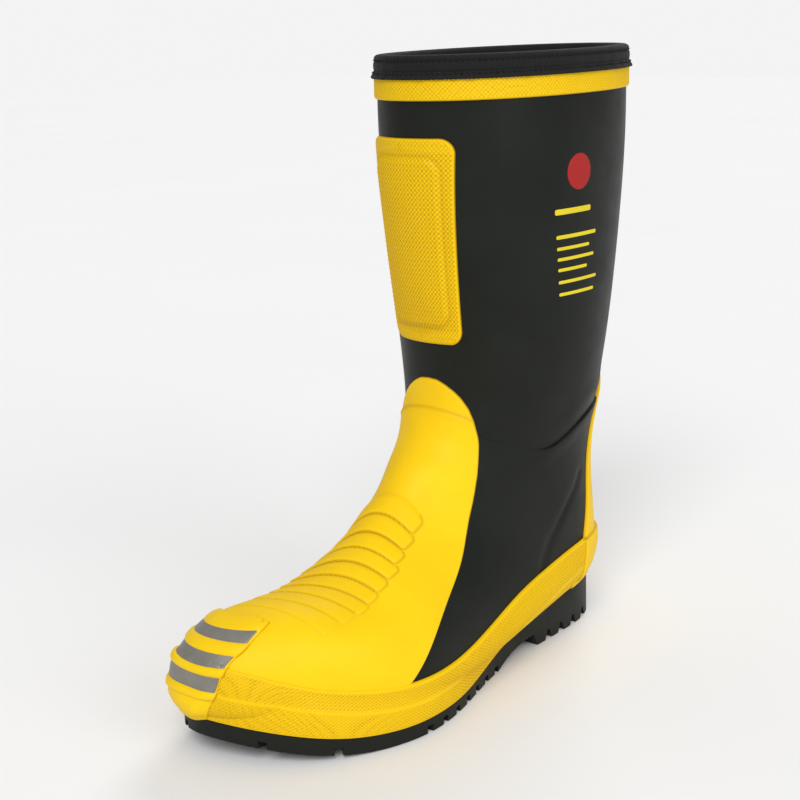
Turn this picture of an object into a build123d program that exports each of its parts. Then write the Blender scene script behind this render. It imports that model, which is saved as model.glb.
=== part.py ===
from build123d import *
import os

# Fire boot for the left foot: a calf-high rubber boot built up in layers over one foot shape.
# Millimetres. X runs from the heel to the toe, Y towards the wearer's left, Z up.
# Every layer is the space between two copies of the foot shape that are moved in or out.

# ---- the foot shape: sections from the rim down to the toe tip ----
# back or sole point (x, z), front or instep point (x, z), outer and inner half width,
# share of the depth where the section is widest, fullness of the sole side, centre in Y
SECTIONS = [
    (-21, 353, 150, 353, 61, 52, 0.50, 0.60, 0),
    (-17, 305, 151, 305, 61, 54, 0.50, 0.60, 2),
    (-9, 253, 146, 252, 59, 55, 0.49, 0.60, 3),
    (-1, 206, 139, 205, 57, 54, 0.48, 0.60, 2),
    (5, 165, 135, 168, 53, 50, 0.46, 0.60, 0),
    (11, 130, 139, 150, 47, 45, 0.44, 0.60, 0),
    (9, 99, 146, 137, 43, 41, 0.42, 0.60, -1),
    (5, 67, 157, 127, 41, 39, 0.40, 0.63, -1),
    (6, 40, 168, 115, 40, 38, 0.38, 0.68, -1),
    (31, 28, 180, 104, 42, 39, 0.34, 0.78, -1),
    (77, 24, 195, 93, 45, 41, 0.30, 0.81, 1),
    (131, 19, 211, 84, 49, 45, 0.28, 0.84, 2),
    (181, 15, 226, 76, 53, 50, 0.28, 0.84, 1),
    (216, 15, 242, 73, 52, 52, 0.28, 0.84, -1),
    (245, 18, 258, 72, 46, 50, 0.29, 0.81, -5),
    (268, 21, 272, 70, 38, 44, 0.31, 0.78, -10),
    (287, 24, 286, 64, 27, 34, 0.34, 0.74, -14),
    (298, 27, 296, 57, 16, 22, 0.40, 0.66, -18),
    (302, 31, 300, 50, 7, 10, 0.45, 0.60, -20),
]
TOP_FULLNESS = 0.60
SPANS = [(0, 9), (9, 13), (13, 18)]  # the leg, the waist and the forefoot are lofted one by one
TOE_SHARE = [0] * 12 + [0.08, 0.2, 0.4, 0.65, 0.85, 1, 1]  # how far a layer moves the toe forward

# ---- layer faces, measured outwards from the upper's outer face ----
UPPER_IN = -2.5
PLATE_IN = -3.3
HIDDEN_IN = -4.3  # inner face of the toe cap, its edge strip and the heel counter
BOARD_IN = -5.3
LINING_IN = -5.5
BINDING_IN = -7.0
LAYER_OUT = 1.0  # outer ply round the foot
BAND_OUT = 1.5
BINDING_OUT = 1.6
PAD_OUT = 1.8
STITCH_OUT = 2.1
VAMP_OUT = 2.2
STAY_OUT = 2.4
TAPE_OUT = 2.9
PAD_INSERT_OUT = 3.0
FOXING_OUT = 3.2
TAPE_STITCH_OUT = 3.4
RIB_OUT = 3.9
PAD_RAISED_OUT = 4.2
BUMPER_OUT = 4.6
PATCH_OUT = 4.8
STRIP_OUT = 5.0
RIDGE_OUT = 6.2

# ---- the sole, seen from above and from the outer side ----
SOLE_OUTLINE = [
    (1, 0), (7, 16), (24, 26), (51, 30), (86, 32), (121, 36), (151, 44), (185, 54), (215, 56),
    (244, 48), (270, 34), (290, 12), (300, -8), (303, -20), (300, -35), (290, -47), (265, -56),
    (235, -58), (205, -53), (170, -43), (140, -35), (110, -31), (80, -30), (40, -31), (13, -23),
]
SOLE_TOP = [(-40, 27), (20, 26), (50, 23), (100, 16), (150, 7.5), (200, 7.5), (250, 9.5), (285, 17), (330, 30)]
CREASE = [(-40, 43), (25, 42), (60, 38), (100, 31), (150, 21), (200, 19), (250, 23), (285, 33), (330, 49)]
FOXING_TOP = [(-40, 62), (20, 59), (45, 58), (80, 54), (115, 49), (150, 40), (180, 33), (206, 31), (228, 32),
              (253, 36), (268, 40), (287, 48), (330, 68)]
HEEL_BREAST = 79
WAIST_HEIGHT = 8
BALL_START = 124
TOE_SPRING_START = 236
TOE_SPRING = 13
FOXING_WALL = 2.4
TREAD_DEPTH = 4
GROOVE = 4.5
LUG_PITCH = 14
GROOVE_TURN = 8
BALL_ROWS = 7
HEEL_ROWS = 5
NOTCH_MOUTH = 8
NOTCH_DEPTH = 6
TOE_NOTCHES = [-58, -22, 14, 50]  # directions of the notches round the toe
TOE_NOTCH_CENTRE = (225, -4)
HEEL_FLOOR = 9

# ---- edges of the outer layers and of the hidden pieces, seen from the outer side ----
LAYER_EDGE = [(-40, 150), (20, 148), (40, 144), (60, 136), (84, 127), (110, 136), (127, 143), (137, 157), (165, 165)]
VAMP_EDGE = [(170, 174), (145, 174), (134, 171), (129, 152), (127, 140), (129, 123), (137, 101), (148, 84),
             (177, 63), (200, 47), (221, 30), (241, 10)]
STAY_EDGE = [(10, 165), (30, 145), (36, 112), (36, 82), (40, 57), (46, 30)]
COUNTER_EDGE = [(25, 125), (48, 101), (58, 88), (71, 73), (86, 56), (92, 20)]
FEATHER_EDGE = [(-40, 52), (31, 37), (77, 30), (131, 25), (181, 21.5), (216, 21.5), (245, 24), (268, 27),
                (287, 31), (330, 44)]
INSOLE_TOP = [(-40, 57), (31, 42), (77, 36), (131, 31), (181, 28), (216, 28), (245, 30), (268, 33), (287, 37),
              (330, 50)]
CAP_EDGE = [(238, -20), (236, 60), (230, 120)]
CAP_STRIP_EDGE = [(231, -20), (229, 60), (223, 120)]

# ---- the rim, measured down from it ----
RIM_CUT = 1.8  # the binding passes over the top of the upper and the lining
BINDING_END = 8.5
TAPE_END = 12
BAND_END = 24
STITCH_ROWS = [(2.6, 3.5), (9.3, 10.2)]
STITCH_LENGTH = 2.6
STITCH_COUNT = 90

# ---- the shin pad, seen from the front ----
PAD_CENTRE = (-1, 252)
PAD_SIZE = (63, 115)
PAD_CORNER = 8.5
PANEL_SIZE = (48, 94)
PANEL_CORNER = 8
INSERT_SIZE = (41, 87)
INSERT_CORNER = 6
PAD_FOOT = 0.78  # the pad narrows towards its lower end

# ---- the instep ribs and the toe bumper ----
RIB_ENDS = [(171, 20, 102), (181, 22, 95), (191, 24, 88), (200, 27, 83), (210, 28, 78), (219, 29, 75),
            (228, 30, 71), (238, 29, 69), (250, 27, 68)]
RIB_TURN = 10  # the ribs follow the ball of the foot, a little further forward on the inner side
RIB_WIDTH = 5
RIB_LENGTH = 60
RIB_DEPTH = 36
BUMPER_START = 276
BUMPER_CENTRE_Y = -21
BUMPER_WIDTH = 60
BUMPER_BOTTOM = 22
RIDGE_HEIGHTS = [67, 57.5, 48, 38.5]
RIDGE_WIDTH = 3.4
STRIP_WIDTH = 5.6

WIDE = 130  # half length of the cutting slabs, more than the boot is wide


def foot_span(first, last, out):
    """One lofted stretch of the foot shape, with its surface moved out by a distance."""
    with BuildPart() as span:
        for section, share in zip(SECTIONS[first:last + 1], TOE_SHARE[first:last + 1]):
            back_x, back_z, front_x, front_z, outer, inner, widest, fullness, centre = section
            depth = ((front_x - back_x) ** 2 + (front_z - back_z) ** 2) ** 0.5
            run, rise = (front_x - back_x) / depth, (front_z - back_z) / depth
            corner = (back_x - run * out + share * out, 0, back_z - rise * out)
            plane = Plane(origin=corner, x_dir=(run, 0, rise), z_dir=(-rise, 0, run))
            deep = depth + 2 * out
            wide = deep * widest
            left, right = centre + outer + out, centre - inner - out
            low, high = fullness, TOP_FULLNESS
            low_x, high_x = wide - low * wide, wide + high * (deep - wide)
            low_left, low_right = centre + low * (left - centre), centre + low * (right - centre)
            high_left, high_right = centre + high * (left - centre), centre + high * (right - centre)
            with BuildSketch(plane):
                with BuildLine():
                    Bezier((0, centre), (0, low_left), (low_x, left), (wide, left))
                    Bezier((wide, left), (high_x, left), (deep, high_left), (deep, centre))
                    Bezier((deep, centre), (deep, high_right), (high_x, right), (wide, right))
                    Bezier((wide, right), (low_x, right), (0, low_right), (0, centre))
                make_face()
        loft(ruled=True, clean=False)
    return span.part


def foot_shape(out):
    """The whole foot shape, closed at the rim by a flat face."""
    with BuildPart() as shape:
        for first, last in SPANS:
            add(foot_span(first, last, out))
    return shape.part


def slab_between(lower, upper):
    """A slab right across the boot between two smooth edges seen from the side."""
    with BuildPart() as slab:
        with BuildSketch(Plane.XZ):
            with BuildLine():
                Spline(*lower)
                Line(lower[-1], upper[-1])
                Spline(*reversed(upper))
                Line(upper[0], lower[0])
            make_face()
        extrude(amount=WIDE, both=True)
    return slab.part


def slab_beside(edge, corners):
    """A slab right across the boot, bounded by one smooth edge and straight lines round the corners."""
    with BuildPart() as slab:
        with BuildSketch(Plane.XZ):
            with BuildLine():
                Spline(*edge)
                Polyline(edge[-1], *corners, edge[0])
            make_face()
        extrude(amount=WIDE, both=True)
    return slab.part


def below(edge):
    return slab_beside(edge, [(edge[-1][0], -40), (edge[0][0], -40)])


def shell(outer, inner):
    """The space between two solids, one inside the other."""
    with BuildPart() as skin:
        add(outer)
        add(inner, mode=Mode.SUBTRACT)
    return skin.part


def rim_slab(top, bottom):
    """A slab parallel to the rim, between two depths below it."""
    with BuildPart() as slab:
        with Locations((60, 0, SECTIONS[0][1] - (top + bottom) / 2)):
            Box(2 * WIDE, 2 * WIDE, bottom - top)
    return slab.part


def sole_block(out):
    """The sole outline, with each point moved out by a distance, as an upright block."""
    points = [Vector(x, y) for x, y in SOLE_OUTLINE]
    outline = []
    for before, point, after in zip(points[-1:] + points[:-1], points, points[1:] + points[:1]):
        along = (after - before).normalized()
        outline.append(point + Vector(-along.Y, along.X) * out)
    with BuildPart() as block:
        with BuildSketch(Plane.XY.offset(-5)):
            with BuildLine():
                Spline(*outline, periodic=True)
            make_face()
        extrude(amount=85)
    return block.part


def front_block(size, corner):
    """A rounded block that narrows downwards, seen from the front, cut through the front of the leg."""
    half_width, half_height = size[0] / 2, size[1] / 2
    with BuildPart() as block:
        with BuildSketch(Plane.YZ.offset(75)) as block_sketch:
            with Locations(PAD_CENTRE):
                Polygon(
                    (-PAD_FOOT * half_width, -half_height),
                    (PAD_FOOT * half_width, -half_height),
                    (half_width, half_height),
                    (-half_width, half_height),
                )
            fillet(block_sketch.vertices(), corner)
        extrude(amount=120)
    return block.part


def leg(out):
    """The leg alone, down to the ankle."""
    return foot_span(0, 5, out)


os.makedirs("parts", exist_ok=True)

upper_face = foot_shape(0)
upper_back = foot_shape(UPPER_IN)
hidden_back = foot_shape(HIDDEN_IN)
lining_back = foot_shape(LINING_IN)
layer_face = foot_shape(LAYER_OUT)
under_feather = below(FEATHER_EDGE)
under_crease = below(CREASE)
under_sole_top = below(SOLE_TOP)
cap_zone = slab_beside(CAP_EDGE, [(340, 120), (340, -20)])
cap_strip_zone = slab_between(CAP_STRIP_EDGE, CAP_EDGE)
counter_zone = slab_beside(COUNTER_EDGE, [(-60, COUNTER_EDGE[-1][1]), (-60, COUNTER_EDGE[0][1])])
vamp_zone = slab_beside(VAMP_EDGE, [(360, VAMP_EDGE[-1][1]), (360, VAMP_EDGE[0][1])])
stay_zone = slab_beside(STAY_EDGE, [(-60, STAY_EDGE[-1][1]), (-60, STAY_EDGE[0][1])])

# ---- upper, lining and the hidden pieces between them ----
with BuildPart() as upper:
    add(shell(upper_face, upper_back))
    add(rim_slab(-5, RIM_CUT), mode=Mode.SUBTRACT)

with BuildPart() as lining:
    add(upper_back)
    add(slab_beside(CAP_STRIP_EDGE, [(340, 120), (340, -20)]), mode=Mode.SUBTRACT)
    add(counter_zone, mode=Mode.SUBTRACT)
    add(hidden_back)
    add(lining_back, mode=Mode.SUBTRACT)
    add(rim_slab(-5, RIM_CUT), mode=Mode.SUBTRACT)
    add(under_feather, mode=Mode.SUBTRACT)

hidden_skin = shell(upper_back, hidden_back)

with BuildPart() as toe_cap:
    add(hidden_skin)
    add(cap_zone, mode=Mode.INTERSECT)
    add(under_feather, mode=Mode.SUBTRACT)

with BuildPart() as toe_cap_edge_strip:
    add(hidden_skin)
    add(cap_strip_zone, mode=Mode.INTERSECT)
    add(under_feather, mode=Mode.SUBTRACT)

with BuildPart() as heel_counter:
    add(hidden_skin)
    add(counter_zone, mode=Mode.INTERSECT)
    add(under_feather, mode=Mode.SUBTRACT)

with BuildPart() as puncture_plate:
    add(shell(upper_back, foot_shape(PLATE_IN)))
    add(under_feather, mode=Mode.INTERSECT)

with BuildPart() as insole_board:
    add(shell(foot_shape(PLATE_IN), foot_shape(BOARD_IN)))
    add(under_feather, mode=Mode.INTERSECT)

with BuildPart() as insole:
    add(lining_back)
    add(below(INSOLE_TOP), mode=Mode.INTERSECT)

# ---- outer layers of the foot ----
with BuildPart() as outer_ply:
    add(shell(layer_face, upper_face))
    add(below(LAYER_EDGE), mode=Mode.INTERSECT)

with BuildPart() as ply_base:
    add(layer_face)
    add(below(LAYER_EDGE), mode=Mode.INTERSECT)
    add(upper_face)

with BuildPart() as vamp_body:
    add(foot_shape(VAMP_OUT))
    add(vamp_zone, mode=Mode.INTERSECT)
    add(under_crease, mode=Mode.SUBTRACT)

with BuildPart() as rib_slabs:
    for end, following in zip(RIB_ENDS, RIB_ENDS[1:] + [(262, 25, 67)]):
        slope = (Vector(following) - Vector(end)).normalized()
        along = Vector(0, 1, 0).rotate(Axis.Z, RIB_TURN)
        across = Vector(slope.X, 0, slope.Z).normalized().rotate(Axis.Z, RIB_TURN)
        with Locations(Plane(origin=end, x_dir=along, z_dir=across)):
            with Locations((-RIB_LENGTH / 2, 0)):
                Box(RIB_LENGTH, RIB_DEPTH, RIB_WIDTH)

with BuildPart() as vamp:
    add(foot_shape(RIB_OUT))
    add(rib_slabs.part, mode=Mode.INTERSECT)
    add(vamp_body.part)
    add(ply_base.part, mode=Mode.SUBTRACT)

with BuildPart() as stay_body:
    add(foot_shape(STAY_OUT))
    add(stay_zone, mode=Mode.INTERSECT)
    add(under_crease, mode=Mode.SUBTRACT)

with BuildPart() as heel_strip:
    add(stay_body.part)
    add(ply_base.part, mode=Mode.SUBTRACT)

# ---- the sole ----
with BuildPart() as ground_slab:
    with BuildSketch(Plane.XZ):
        with BuildLine():
            Polyline((-40, 0), (HEEL_BREAST, 0), (HEEL_BREAST + 4, WAIST_HEIGHT))
            Spline((HEEL_BREAST + 4, WAIST_HEIGHT), (105, WAIST_HEIGHT - 2), (BALL_START, 0))
            Line((BALL_START, 0), (TOE_SPRING_START, 0))
            Spline((TOE_SPRING_START, 0), (270, 4), (303, TOE_SPRING), (330, 23))
            Polyline((330, 23), (330, -40), (-40, -40), (-40, 0))
        make_face()
    extrude(amount=WIDE, both=True)

with BuildPart() as tread_grooves:
    with BuildSketch(Plane.XY.offset(-10)):
        for row in range(BALL_ROWS):
            with Locations(Location((BALL_START + 8 + row * LUG_PITCH, 0), GROOVE_TURN)):
                Rectangle(GROOVE, 2 * WIDE)
        with Locations((180, -2)):
            Rectangle(110, GROOVE)
        for direction in TOE_NOTCHES:
            with Locations(Location(TOE_NOTCH_CENTRE, direction)):
                with Locations((80, 0)):
                    Rectangle(75, GROOVE)
    extrude(amount=60)
    add(ground_slab.part.moved(Location((0, 0, TREAD_DEPTH))), mode=Mode.INTERSECT)

with BuildPart() as heel_notches:
    with BuildSketch(Plane.XZ):
        with Locations([(11 + row * LUG_PITCH, 0) for row in range(HEEL_ROWS)]):
            Polygon(
                (-NOTCH_MOUTH / 2, -1),
                (NOTCH_MOUTH / 2, -1),
                (GROOVE / 4, NOTCH_DEPTH),
                (-GROOVE / 4, NOTCH_DEPTH),
                align=None,
            )
    extrude(amount=WIDE, both=True)

with BuildPart() as heel_filler:
    add(sole_block(-8))
    with BuildSketch(Plane.XY.offset(HEEL_FLOOR)):
        with Locations((33, 0)):
            Rectangle(66, 80)
    extrude(amount=60, mode=Mode.INTERSECT)
    add(under_sole_top, mode=Mode.INTERSECT)

with BuildPart() as outsole:
    add(sole_block(0))
    add(under_sole_top, mode=Mode.INTERSECT)
    add(ground_slab.part, mode=Mode.SUBTRACT)
    add(tread_grooves.part, mode=Mode.SUBTRACT)
    add(heel_notches.part, mode=Mode.SUBTRACT)
    add(heel_filler.part, mode=Mode.SUBTRACT)

with BuildPart() as midsole_core:
    add(sole_block(-FOXING_WALL))
    add(under_crease.moved(Location((0, 0, -FOXING_WALL))), mode=Mode.INTERSECT)

with BuildPart() as midsole:
    add(midsole_core.part)
    add(under_sole_top, mode=Mode.SUBTRACT)
    add(ply_base.part, mode=Mode.SUBTRACT)

with BuildPart() as foxing_body:
    add(foot_shape(FOXING_OUT))
    add(below(FOXING_TOP), mode=Mode.INTERSECT)
    add(under_crease.moved(Location((0, 0, -2))), mode=Mode.SUBTRACT)

with BuildPart() as wall_body:
    add(sole_block(0))
    add(under_crease, mode=Mode.INTERSECT)
    add(under_sole_top, mode=Mode.SUBTRACT)

with BuildPart() as foxing:
    add(wall_body.part)
    add(foxing_body.part)
    add(midsole_core.part, mode=Mode.SUBTRACT)
    add(ply_base.part, mode=Mode.SUBTRACT)
    add(vamp_body.part, mode=Mode.SUBTRACT)
    add(stay_body.part, mode=Mode.SUBTRACT)

with BuildPart() as heel_patch:
    add(foot_shape(PATCH_OUT))
    add(slab_beside([(30, 78), (44, 62), (42, 50), (38, 37)], [(-60, 37), (-60, 78)]), mode=Mode.INTERSECT)
    add(foxing_body.part, mode=Mode.SUBTRACT)
    add(wall_body.part, mode=Mode.SUBTRACT)
    add(stay_body.part, mode=Mode.SUBTRACT)
    add(ply_base.part, mode=Mode.SUBTRACT)

# ---- the toe bumper and its reflective strips ----
with BuildPart() as bumper_zone:
    with BuildSketch(Plane.YZ.offset(BUMPER_START)):
        with Locations((BUMPER_CENTRE_Y, 60)):
            Rectangle(BUMPER_WIDTH, 2 * (60 - BUMPER_BOTTOM))
    extrude(amount=60)

with BuildPart() as bumper_body:
    add(foot_shape(BUMPER_OUT))
    add(bumper_zone.part, mode=Mode.INTERSECT)

with BuildPart() as ridge_slabs:
    for height in RIDGE_HEIGHTS:
        with Locations((BUMPER_START, BUMPER_CENTRE_Y, height)):
            Box(120, BUMPER_WIDTH, RIDGE_WIDTH)

with BuildPart() as toe_bumper:
    add(foot_shape(RIDGE_OUT))
    add(ridge_slabs.part, mode=Mode.INTERSECT)
    add(bumper_zone.part, mode=Mode.INTERSECT)
    add(bumper_body.part)
    for inside in (foxing_body, wall_body, vamp_body, ply_base, midsole_core):
        add(inside.part, mode=Mode.SUBTRACT)

strip_skin = shell(foot_shape(STRIP_OUT), foot_shape(BUMPER_OUT))
reflective_strips = []
for upper_ridge, lower_ridge in zip(RIDGE_HEIGHTS, RIDGE_HEIGHTS[1:]):
    with BuildPart() as strip:
        add(strip_skin)
        with Locations((BUMPER_START + 30, BUMPER_CENTRE_Y, (upper_ridge + lower_ridge) / 2)):
            Box(60, BUMPER_WIDTH - 4, STRIP_WIDTH, mode=Mode.INTERSECT)
    reflective_strips.append(strip)

# ---- the rim ----
leg_face = leg(0)

with BuildPart() as rim_edge:
    add(shell(leg_face, leg(LINING_IN)))
    add(rim_slab(-5, RIM_CUT), mode=Mode.SUBTRACT)

with BuildPart() as collar_binding:
    add(shell(leg(BINDING_OUT), leg(BINDING_IN)))
    add(rim_slab(-5, BINDING_END), mode=Mode.INTERSECT)
    add(rim_edge.part, mode=Mode.SUBTRACT)

with BuildPart() as collar_tape:
    add(shell(leg(TAPE_OUT), leg_face))
    add(rim_slab(BINDING_END, TAPE_END), mode=Mode.INTERSECT)

with BuildPart() as top_band:
    add(shell(leg(BAND_OUT), leg_face))
    add(rim_slab(TAPE_END, BAND_END), mode=Mode.INTERSECT)

stitch_skins = [shell(leg(STITCH_OUT), leg(BINDING_OUT)), shell(leg(TAPE_STITCH_OUT), leg(TAPE_OUT))]
collar_stitches = []
for skin, (row_top, row_bottom) in zip(stitch_skins, STITCH_ROWS):
    with BuildPart() as stitches:
        with Locations((70, 0, SECTIONS[0][1] - (row_top + row_bottom) / 2)):
            with PolarLocations(60, STITCH_COUNT):
                Box(100, STITCH_LENGTH, row_bottom - row_top)
        add(skin, mode=Mode.INTERSECT)
    collar_stitches.append(stitches)

# ---- the shin pad ----
pad_block = front_block(PAD_SIZE, PAD_CORNER)
panel_block = front_block(PANEL_SIZE, PANEL_CORNER)
insert_block = front_block(INSERT_SIZE, INSERT_CORNER)

with BuildPart() as insert_body:
    add(leg(PAD_INSERT_OUT))
    add(insert_block, mode=Mode.INTERSECT)

with BuildPart() as shin_pad_insert:
    add(insert_body.part)
    add(leg_face, mode=Mode.SUBTRACT)

with BuildPart() as panel_body:
    add(leg(PAD_RAISED_OUT))
    add(panel_block, mode=Mode.INTERSECT)

with BuildPart() as shin_pad_cover:
    add(leg(PAD_OUT))
    add(pad_block, mode=Mode.INTERSECT)
    add(panel_body.part)
    add(insert_body.part, mode=Mode.SUBTRACT)
    add(leg_face, mode=Mode.SUBTRACT)

# ---- the pieces, moved so that the origin is under the middle of the boot, on the ground ----
pieces = {
    "outsole": outsole,
    "heel_filler": heel_filler,
    "midsole": midsole,
    "puncture_plate": puncture_plate,
    "insole_board": insole_board,
    "insole": insole,
    "lining": lining,
    "upper": upper,
    "toe_cap": toe_cap,
    "toe_cap_edge_strip": toe_cap_edge_strip,
    "heel_counter": heel_counter,
    "outer_ply": outer_ply,
    "vamp": vamp,
    "foxing": foxing,
    "toe_bumper": toe_bumper,
    "reflective_strip_upper": reflective_strips[0],
    "reflective_strip_middle": reflective_strips[1],
    "reflective_strip_lower": reflective_strips[2],
    "heel_strip": heel_strip,
    "heel_patch": heel_patch,
    "shin_pad_cover": shin_pad_cover,
    "shin_pad_insert": shin_pad_insert,
    "top_band": top_band,
    "collar_binding": collar_binding,
    "collar_tape": collar_tape,
    "collar_stitches_upper": collar_stitches[0],
    "collar_stitches_lower": collar_stitches[1],
}

with BuildPart() as whole:
    for piece in (upper, outsole, foxing, toe_bumper, heel_patch, collar_tape, collar_stitches[1]):
        bounds = piece.part.bounding_box()
        with Locations(bounds.center()):
            Box(*bounds.size)
extent = whole.part.bounding_box()
shift = Location((-extent.center().X, -extent.center().Y, -extent.min.Z))

for name, piece in pieces.items():
    placed = piece.part.moved(shift)
    placed.label = name
    export_step(placed, f"parts/{name}.step")
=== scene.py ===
import math
import bpy
import numpy as np
from mathutils import Matrix, Vector
from mathutils.bvhtree import BVHTree
from mathutils.kdtree import KDTree


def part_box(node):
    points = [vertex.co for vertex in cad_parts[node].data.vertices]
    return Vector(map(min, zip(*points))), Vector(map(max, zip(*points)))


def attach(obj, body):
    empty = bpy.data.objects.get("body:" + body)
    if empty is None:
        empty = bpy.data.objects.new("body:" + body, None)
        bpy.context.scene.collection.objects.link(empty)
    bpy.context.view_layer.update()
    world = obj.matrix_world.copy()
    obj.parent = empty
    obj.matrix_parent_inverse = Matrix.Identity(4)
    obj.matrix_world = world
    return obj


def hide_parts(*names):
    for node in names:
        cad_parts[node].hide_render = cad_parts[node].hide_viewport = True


# Looks of the fire boot. Shapes are worked out in the design's own millimetres, in which the heel
# is near X = 0 and the sole's middle near Y = 0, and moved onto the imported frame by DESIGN_TO_ROW.
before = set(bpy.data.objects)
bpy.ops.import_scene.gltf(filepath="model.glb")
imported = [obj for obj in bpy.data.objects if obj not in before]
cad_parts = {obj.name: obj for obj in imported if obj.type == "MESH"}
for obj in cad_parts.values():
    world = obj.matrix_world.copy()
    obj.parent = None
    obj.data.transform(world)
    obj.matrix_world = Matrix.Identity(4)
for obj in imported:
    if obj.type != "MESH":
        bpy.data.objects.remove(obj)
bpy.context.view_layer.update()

# ---- the foot shape: sections from the rim down to the toe tip ----
# back or sole point (x, z), front or instep point (x, z), outer and inner half width,
# share of the depth where the section is widest, fullness of the sole side, centre in Y
SECTIONS = [
    (-21, 353, 150, 353, 61, 52, 0.50, 0.60, 0),
    (-17, 305, 151, 305, 61, 54, 0.50, 0.60, 2),
    (-9, 253, 146, 252, 59, 55, 0.49, 0.60, 3),
    (-1, 206, 139, 205, 57, 54, 0.48, 0.60, 2),
    (5, 165, 135, 168, 53, 50, 0.46, 0.60, 0),
    (11, 130, 139, 150, 47, 45, 0.44, 0.60, 0),
    (9, 99, 146, 137, 43, 41, 0.42, 0.60, -1),
    (5, 67, 157, 127, 41, 39, 0.40, 0.63, -1),
    (6, 40, 168, 115, 40, 38, 0.38, 0.68, -1),
    (31, 28, 180, 104, 42, 39, 0.34, 0.78, -1),
    (77, 24, 195, 93, 45, 41, 0.30, 0.81, 1),
    (131, 19, 211, 84, 49, 45, 0.28, 0.84, 2),
    (181, 15, 226, 76, 53, 50, 0.28, 0.84, 1),
    (216, 15, 242, 73, 52, 52, 0.28, 0.84, -1),
    (245, 18, 258, 72, 46, 50, 0.29, 0.81, -5),
    (268, 21, 272, 70, 38, 44, 0.31, 0.78, -10),
    (287, 24, 286, 64, 27, 34, 0.34, 0.74, -14),
    (298, 27, 296, 57, 16, 22, 0.40, 0.66, -18),
    (302, 31, 300, 50, 7, 10, 0.45, 0.60, -20),
]
TOP_FULLNESS = 0.60
TOE_SHARE = [0] * 12 + [0.08, 0.2, 0.4, 0.65, 0.85, 1, 1]  # how far a layer moves the toe forward
LAST = len(SECTIONS) - 1
RIM_HEIGHT = SECTIONS[0][1]
RIM_SPAN = SECTIONS[0][1] - SECTIONS[1][1]  # height of the first stretch of the leg

# the sole seen from above, and edges seen from the side as (x, z) points
SOLE_OUTLINE = [
    (1, 0), (7, 16), (24, 26), (51, 30), (86, 32), (121, 36), (151, 44), (185, 54), (215, 56),
    (244, 48), (270, 34), (290, 12), (300, -8), (303, -20), (300, -35), (290, -47), (265, -56),
    (235, -58), (205, -53), (170, -43), (140, -35), (110, -31), (80, -30), (40, -31), (13, -23),
]
SOLE_TOP = [(-40, 27), (20, 26), (50, 23), (100, 16), (150, 7.5), (200, 7.5), (250, 9.5), (285, 17),
            (330, 30)]
CREASE = [(-40, 43), (25, 42), (60, 38), (100, 31), (150, 21), (200, 19), (250, 23), (285, 33),
          (330, 49)]
FOXING_TOP = [(-40, 62), (20, 59), (45, 58), (80, 54), (115, 49), (150, 40), (180, 33), (206, 31),
              (228, 32), (253, 36), (268, 40), (287, 48), (330, 68)]
LAYER_EDGE = [(-40, 150), (20, 148), (40, 144), (60, 136), (84, 127), (110, 136), (127, 143), (137, 157),
              (165, 165)]
VAMP_EDGE = [(170, 174), (145, 174), (134, 171), (129, 152), (127, 140), (129, 123), (137, 101),
             (148, 84), (177, 63), (200, 47), (221, 30), (241, 10)]
STAY_EDGE = [(10, 165), (30, 145), (36, 112), (36, 82), (40, 57), (46, 30)]
COUNTER_EDGE = [(46, 118), (48, 101), (58, 88), (71, 73), (86, 56), (92, 20)]

# faces of the layers, measured outwards from the upper's outer face
UPPER_IN = -2.5
LAYER_OUT = 1.0
BAND_OUT = 1.5
BINDING_OUT = 1.6
BINDING_IN = -7.0
PAD_OUT = 1.8
VAMP_OUT = 2.2
STAY_OUT = 2.4
FOXING_OUT = 3.2
PAD_RAISED_OUT = 4.2
TUCK = 0.4  # how far the foot of a layer sinks into the layer below it
TAPE_END = 12  # how far below the rim the tape ends
BAND_END = 24


# ---- curves and the foot surface ----
def natural_spline(knots, values, places):
    """A smooth curve through the values, read at any places."""
    knots = np.asarray(knots, float)
    values = np.asarray(values, float).reshape(len(knots), -1)
    step = np.diff(knots)
    size = len(knots)
    matrix = np.eye(size)
    right = np.zeros_like(values)
    for i in range(1, size - 1):
        matrix[i, i - 1:i + 2] = step[i - 1], 2 * (step[i - 1] + step[i]), step[i]
        right[i] = 6 * ((values[i + 1] - values[i]) / step[i] - (values[i] - values[i - 1]) / step[i - 1])
    bend = np.linalg.solve(matrix, right)
    places = np.asarray(places, float)
    i = np.clip(np.searchsorted(knots, places, side="right") - 1, 0, size - 2)
    width = step[i][..., None]
    late = (places - knots[i])[..., None] / width
    early = 1 - late
    curve = early * values[i] + late * values[i + 1]
    curve += ((early ** 3 - early) * bend[i] + (late ** 3 - late) * bend[i + 1]) * width ** 2 / 6
    return curve


def along_x(points, x):
    """Height of an edge, given as (x, z) points, at x."""
    return natural_spline([p[0] for p in points], [p[1] for p in points], x)[..., 0]


def dense(points, count=300):
    """Many points on the smooth curve through a few."""
    points = np.asarray(points, float)
    knots = np.concatenate([[0], np.cumsum(np.linalg.norm(np.diff(points, axis=0), axis=1))])
    return natural_spline(knots, points, np.linspace(0, knots[-1], count))


ROWS = np.array([section + (share,) for section, share in zip(SECTIONS, TOE_SHARE)], float)


def bezier(a, b, c, d, f):
    """A point on a cubic curve."""
    return (1 - f) ** 3 * a + 3 * (1 - f) ** 2 * f * b + 3 * (1 - f) * f * f * c + f ** 3 * d


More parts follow.
